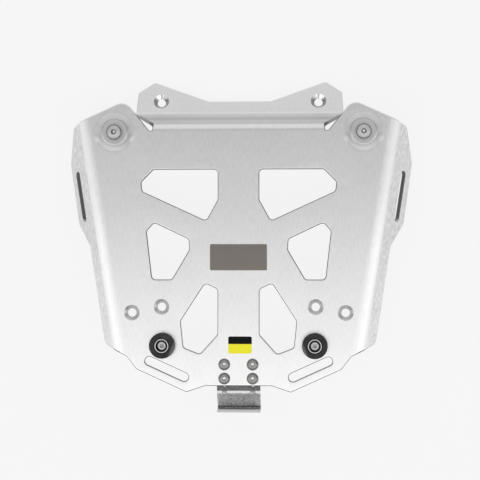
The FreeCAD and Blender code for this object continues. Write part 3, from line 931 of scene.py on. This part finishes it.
def coneCutter(lowRadius, highRadius, bottom, height, facets):
    deselectAll()
    bpy.ops.mesh.primitive_cone_add(
        vertices=facets, radius1=lowRadius * mm, radius2=highRadius * mm,
        depth=height * mm, location=(0, 0, (bottom + height / 2) * mm))
    cutter = bpy.context.object
    applyPlace(cutter)
    return cutter


def mouthCutter(radius, top, depth):
    # a shallow cone that breaks the socket's edge, and reaches past the top
    over = 0.6
    return coneCutter(0.4 * radius, radius + over, top - depth, depth + over, 48)


def cutSocket(piece, look, top):
    # a hexagon socket, then the dent of a drill in the middle of its floor
    floor = top - look["socketDepth"]
    cutWith(piece, hexagonCutter(look["socket"], floor, top + 2, look["drillPoint"]))
    depth, over = look["dent"] / 3, 1.6
    tip = floor - 0.35 * look["drillPoint"] - depth
    cutWith(piece, coneCutter(0, over * look["dent"], tip, over * depth, 32))


def paintScrew(piece, body, rimSlope, floorIndex, look, top):
    # the steep faces of the head and socket get painted shade, the dent a painted glint, the floor has
    # its own index
    paintAll(piece, body, "screwRimShade", "bright")
    rim, bright = 1, 2
    socketReach = 3
    floor = top - look["socketDepth"]
    for face in piece.data.polygons:
        x, y, z = face.center / mm
        near = math.hypot(x, y)
        if near < socketReach and 0 < z < floor + 0.1 and face.normal.z > 0.5:
            face.material_index = bright if near < look["dent"] else floorIndex
        elif z > 0 and abs(face.normal.z) < (rimSlope if near > socketReach else 0.1):
            face.material_index = rim


def makeCornerScrew(threadEnd):
    # the head's seat is at 0
    look = cornerScrew
    thread, flange, groove, dome = look["thread"], look["flange"], look["groove"], look["dome"]
    edge, seatTop = look["flangeEdge"], look["flangeHeight"]
    grooveFloor = seatTop - look["grooveDepth"]
    profile = threadProfile(thread, look["pitch"], threadEnd, -0.4)
    profile += [(thread, 0), (flange - edge, 0), (flange, edge), (flange, grooveFloor)]
    profile += [(flange - 0.15, seatTop - 0.12), (flange - 0.5, seatTop)]
    profile += [(groove + 0.25, seatTop - 0.1), (groove + 0.05, grooveFloor), (dome + 0.02, grooveFloor)]
    profile += domeProfile(dome, seatTop, look["domeHeight"], look["domeRim"])
    piece = latheFrom("cornerScrewModel", profile, look["facets"])
    top = seatTop + look["domeHeight"]
    cutSocket(piece, look, top)
    cutWith(piece, mouthCutter(look["mouth"], top, look["mouthDepth"]))
    smoothByAngle(piece, smoothing["screw"])
    paintScrew(piece, "dome", 0.5, 1, look, top)
    return piece


cornerWasher = {
    "facets": 72,
    "bore": 4.3,
    "edge": 0.5,
    "bevel": 0.9,
}


def makeCornerWasher():
    # its size is that of the solid, and rings beside the bevel keep the flat smooth
    look = cornerWasher
    low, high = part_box("right_corner_washer")
    height = (high[2] - low[2]) / mm
    outer = (high[0] - low[0]) / 2 / mm
    bore, edge, bevel = look["bore"], look["edge"], look["bevel"]
    profile = [(bore, 0.15), (bore + 0.15, 0), (outer - edge, 0), (outer - 0.15, 0.2), (outer, edge)]
    profile += [(outer, height - edge), (outer - 0.3, height - 0.2), (outer - bevel, height)]
    profile += [(outer - bevel - 0.1, height), (bore + 0.45, height), (bore + 0.3, height)]
    profile += [(bore, height - 0.25)]
    piece = latheFrom("cornerWasherModel", profile, look["facets"], closed=True)
    smoothByAngle(piece, smoothing["turned"])
    paintAll(piece, "washer")
    return piece


def placeCorners():
    seatTop = topOf("right_corner_washer")
    threadEnd = (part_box("right_corner_screw")[0][2] - seatTop) / mm
    screw = makeCornerScrew(threadEnd)
    washer = makeCornerWasher()
    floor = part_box("right_corner_washer")[0][2]
    for side in ("left", "right"):
        centre = centreOf(side + "_corner_screw")
        copyTo(screw, side + "_seat_screw", (centre.x, centre.y, seatTop),
               node=side + "_corner_screw", turn=cornerScrew["turn"])
        copyTo(washer, side + "_seat_washer", (centre.x, centre.y, floor),
               node=side + "_corner_washer")
    bpy.data.objects.remove(screw)
    bpy.data.objects.remove(washer)


placeCorners()
print("corner screws made")


# Pucks with their sleeves and screws

puckShape = {
    "facets": 96,
    "outer": 12.7,
    "height": 10.0,
    "foot": 0.5,
    "edge": 1.6,
    "edgeSteps": 5,
    "ribRadius": 10.6,
    "ribDepth": 0.18,
    "bore": 7.05,
    "grooveWidth": 0.6,  # round the sleeve
    "grooveDepth": 2.0,
}


def makePuck():
    look = puckShape
    outer, height, edge, bore = look["outer"], look["height"], look["edge"], look["bore"]
    ribRadius, ribFoot = look["ribRadius"], height - look["ribDepth"]
    grooveOuter, grooveFloor = bore + look["grooveWidth"], height - look["grooveDepth"]
    profile = [(bore, 0.1), (bore + 0.3, 0.0), (outer - look["foot"], 0.0), (outer, look["foot"])]
    profile += [(outer, height - edge)]
    for step in range(1, look["edgeSteps"] + 1):
        turn = math.radians(90) * step / look["edgeSteps"]
        profile.append((outer - edge * (1 - math.cos(turn)), height - edge * (1 - math.sin(turn))))
    profile += [(ribRadius - 0.4, height), (ribRadius - 0.6, ribFoot), (bore + 1.0, ribFoot)]
    profile += [(grooveOuter + 0.15, height - 0.5), (grooveOuter, grooveFloor + 0.1), (bore, grooveFloor)]
    piece = latheFrom("puckModel", profile, look["facets"], closed=True)
    smoothByAngle(piece, smoothing["turned"])
    paintAll(piece, "rubber")
    return piece


sleeveShape = {
    "facets": 72,
    "outer": 7.0,
    "inner": 5.9,
    "height": 10.0,
    "hole": 2.8,
    "floor": 2.0,
    "edge": 0.35,
}


def makeSleeve():
    look = sleeveShape
    outer, inner, height = look["outer"], look["inner"], look["height"]
    hole, floor, edge = look["hole"], look["floor"], look["edge"]
    profile = [(hole, 0.0), (outer - 0.2, 0.0), (outer, 0.2), (outer, height - edge)]
    profile += [(outer - 0.12, height - 0.1), (outer - edge, height), (inner + 0.3, height)]
    profile += [(inner + 0.08, height - 0.1), (inner, height - edge)]
    profile += [(inner, floor + 0.4), (inner - 0.4, floor), (hole, floor)]
    piece = latheFrom("sleeveModel", profile, look["facets"], closed=True)
    smoothByAngle(piece, smoothing["turned"])
    paintAll(piece, "sleeve")
    return piece


capScrew = {
    "facets": 48,
    "thread": 2.5,
    "pitch": 0.8,
    "head": 4.25,
    "headHeight": 5.0,
    "socket": 4.0,
    "socketDepth": 2.5,
    "drillPoint": 0.3,
    "mouth": 2.5,
    "mouthDepth": 0.3,
    "turn": math.radians(30),
}


def makePuckScrew(threadEnd):
    # a cap screw, with the head's seat at 0 and painted shade on the floor of its socket
    look = capScrew
    thread, head, top = look["thread"], look["head"], look["headHeight"]
    floor = top - look["socketDepth"]
    profile = threadProfile(thread, look["pitch"], threadEnd, -0.3)
    profile += [(thread, 0.0), (head - 0.25, 0.0), (head, 0.25)]
    profile += [(head, top - 0.6), (head - 0.15, top - 0.2), (head - 0.4, top)]
    piece = latheFrom("puckScrewModel", profile, look["facets"])
    cutWith(piece, hexagonCutter(look["socket"], floor, top + 2, look["drillPoint"]))
    cutWith(piece, mouthCutter(look["mouth"], top, look["mouthDepth"]))
    smoothByAngle(piece, smoothing["screw"])
    paintAll(piece, "dome", "stainless")
    # painted shade on the socket floor, and the same darker steel on the shank below it
    for face in piece.data.polygons:
        if face.center.z < (floor + 0.5) * mm:
            face.material_index = 1
    return piece


def placePucks():
    puck = makePuck()
    sleeve = makeSleeve()
    seat = sleeveShape["floor"]
    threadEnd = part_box("right_puck_screw")[0][2] / mm - seat
    screw = makePuckScrew(threadEnd)
    for side in ("left", "right"):
        centre = centreOf(side + "_rubber_puck")
        place = (centre.x, centre.y, 0)
        copyTo(puck, side + "_puck", place, node=side + "_rubber_puck")
        copyTo(sleeve, side + "_sleeve", place, node=side + "_puck_sleeve")
        copyTo(screw, side + "_cap_screw", (centre.x, centre.y, seat * mm),
               node=side + "_puck_screw", turn=capScrew["turn"])
    for model in (puck, sleeve, screw):
        bpy.data.objects.remove(model)


placePucks()
print("pucks made")


# Latch screws

latchScrew = {
    "facets": 48,
    "thread": 3.0,
    "pitch": 1.0,
    "flange": 5.9,
    "flangeHeight": 0.7,
    "dome": 5.1,
    "domeRim": 0.3,
    "height": 3.3,
    "socket": 4.0,
    "socketDepth": 2.0,
    "mouth": 2.5,
    "mouthDepth": 0.25,
    "drillPoint": 0.2,
    "dent": 1.4,
    "turns": {"front_left": 0.1, "front_right": 0.75, "rear_left": 0.4, "rear_right": 0.95},
}


def makeLatchScrew(threadEnd):
    look = latchScrew
    thread, flange, dome = look["thread"], look["flange"], look["dome"]
    top, seatTop = look["height"], look["flangeHeight"]
    domeFoot = seatTop - 0.1
    profile = threadProfile(thread, look["pitch"], threadEnd, -0.4)
    profile += [(thread, 0.0), (flange - 0.2, 0.0), (flange, 0.2), (flange, seatTop - 0.25)]
    profile += [(flange - 0.25, seatTop), (dome + 0.1, domeFoot)]
    profile += domeProfile(dome, domeFoot, top - domeFoot, look["domeRim"])
    piece = latheFrom("latchScrewModel", profile, look["facets"])
    cutSocket(piece, look, top)
    cutWith(piece, mouthCutter(look["mouth"], top, look["mouthDepth"]))
    smoothByAngle(piece, smoothing["screw"])
    paintScrew(piece, "stainless", 0.8, 0, look, top)
    return piece


def placeLatchScrews():
    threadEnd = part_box("front_left_latch_screw")[0][2] / mm
    screw = makeLatchScrew(threadEnd)
    for place, turn in latchScrew["turns"].items():
        centre = centreOf(place + "_latch_screw")
        copyTo(screw, place + "_button_screw", (centre.x, centre.y, 0),
               node=place + "_latch_screw", turn=turn)
    bpy.data.objects.remove(screw)


placeLatchScrews()
print("latch screws made")


# Badge and sticker

badgeShape = {
    "cornerRadius": 1.4 * mm,
    "cornerSteps": 6,
    "edgeRadius": 0.5 * mm,
    "edgeSteps": 3,
    "smoothAngle": 40,
}


def makeBadge():
    # a plate with rounded corners and a broken edge
    look = badgeShape
    low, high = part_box("badge_plate")
    deselectAll()
    size = [high[axis] - low[axis] for axis in range(3)]
    bpy.ops.mesh.primitive_cube_add(size=1, location=centreOf("badge_plate"))
    piece = bpy.context.object
    piece.name = "name_plate"
    piece.scale = size
    applyPlace(piece)

    def heightOf(edge, end):
        return piece.data.vertices[edge.vertices[end]].co.z

    upright = [edge.index for edge in piece.data.edges if abs(heightOf(edge, 0) - heightOf(edge, 1)) > mm]
    selectOnly(piece, "EDGE", upright)
    bpy.ops.object.mode_set(mode="EDIT")
    bpy.ops.mesh.bevel(offset=look["cornerRadius"], segments=look["cornerSteps"])
    bpy.ops.object.mode_set(mode="OBJECT")

    def isRim(first, second):
        return max(first.normal.z, second.normal.z) > 0.99

    bevelBetween(piece, isRim, look["edgeRadius"], look["edgeSteps"], -1)
    smoothByAngle(piece, look["smoothAngle"])
    applyModifier(piece, "WEIGHTED_NORMAL", keep_sharp=True)
    paintAll(piece, "badge", "rim")
    for face in piece.data.polygons:
        if face.normal.y < -0.3 and face.normal.z > 0.2:
            face.material_index = 1  # the rear edge gets a painted highlight
    finishPiece(piece, "rack", "badge_plate")


makeBadge()

paintAll(nodes["colour_sticker"], "sticker")
for name, node in nodes.items():
    if name.endswith(("_nut", "puck_washer", "latch_washer")):
        paintAll(node, "zinc")
print("badge and sticker made")


# Floor, light and camera

studio = {
    "floorSize": 9.0,
    "floorDark": grey(0.098),
    "floorLight": grey(0.10),
    "floorClouds": 3.0,
    "floorRoughness": 0.9,
    "floorGlow": 0.825,
    "worldColour": grey(1.0),
    "worldStrength": 0.445,
}

lamps = [
    # name, place, width, height, brightness, aimed at
    ("rearSoftbox", (0, -1.29, 2.2), 16.0, 2.5, 0.86, (0, -1.29, 0)),
    ("frontSoftbox", (0, 1.8, 1.15), 4.0, 2.6, 0.37, (0, 0, 0)),
    ("leftSoftbox", (-5.0, -1.6, 0.9), 4.0, 1.9, 0.62, (0, -1.6, 0.9)),
    ("rightSoftbox", (5.0, -1.6, 0.9), 4.0, 1.9, 0.62, (0, -1.6, 0.9)),
]

shot = {
    "foot": (76 * mm, -30 * mm),
    "height": 1500 * mm,
    "target": (1.55 * mm, -0.86 * mm, 0),
    "frameWidth": 479.2 * mm,
    "sensor": 36.0,
    "roll": math.radians(0.015),
}


def makeFloor():
    low = cadBounds[0]
    deselectAll()
    bpy.ops.mesh.primitive_plane_add(size=studio["floorSize"], location=(0, 0, low[2]))
    floor = bpy.context.object
    floor.name = "studio_floor"
    paint = Paint("floorPaper", Roughness=studio["floorRoughness"], Emission_Strength=studio["floorGlow"],
                  Emission_Color=grey(1.0))
    tone = paint.noise(paint.place, studio["floorClouds"], detail=2.0, roughness=0.5)
    colour = paint.colourMix(tone, studio["floorDark"], studio["floorLight"])
    floor.data.materials.append(paint.use(Base_Color=colour))


def makeLamps():
    for name, place, across, along, brightness, aim in lamps:
        data = bpy.data.lights.new(name, "AREA")
        data.shape = "RECTANGLE"
        data.size = across
        data.size_y = along
        data.energy = brightness * math.pi * across * along
        lamp = bpy.data.objects.new(name, data)
        lamp.location = place
        lamp.rotation_euler = (Vector(aim) - Vector(place)).to_track_quat("-Z", "Y").to_euler()
        bpy.context.scene.collection.objects.link(lamp)
    world = bpy.data.worlds.new("studioLight")
    bpy.context.scene.world = world
    world.use_nodes = True
    background = world.node_tree.nodes["Background"]
    background.inputs["Color"].default_value = studio["worldColour"]
    background.inputs["Strength"].default_value = studio["worldStrength"]


def makeCamera():
    data = bpy.data.cameras.new("camera")
    place = Vector((*shot["foot"], shot["height"]))
    target = Vector(shot["target"])
    data.sensor_width = shot["sensor"]
    data.lens = shot["sensor"] * (place - target).length / shot["frameWidth"]
    camera = bpy.data.objects.new("camera", data)
    camera.location = place
    away = (place - target).normalized()
    right = Vector((0, 1, 0)).cross(away).normalized()
    upward = away.cross(right)
    turn = Matrix((right, upward, away)).transposed()
    camera.rotation_euler = (turn @ Euler((0, 0, shot["roll"])).to_matrix()).to_euler()
    bpy.context.scene.collection.objects.link(camera)
    bpy.context.scene.camera = camera


makeFloor()
makeLamps()
makeCamera()
bpy.context.scene.view_settings.view_transform = "Standard"
print("stage made")
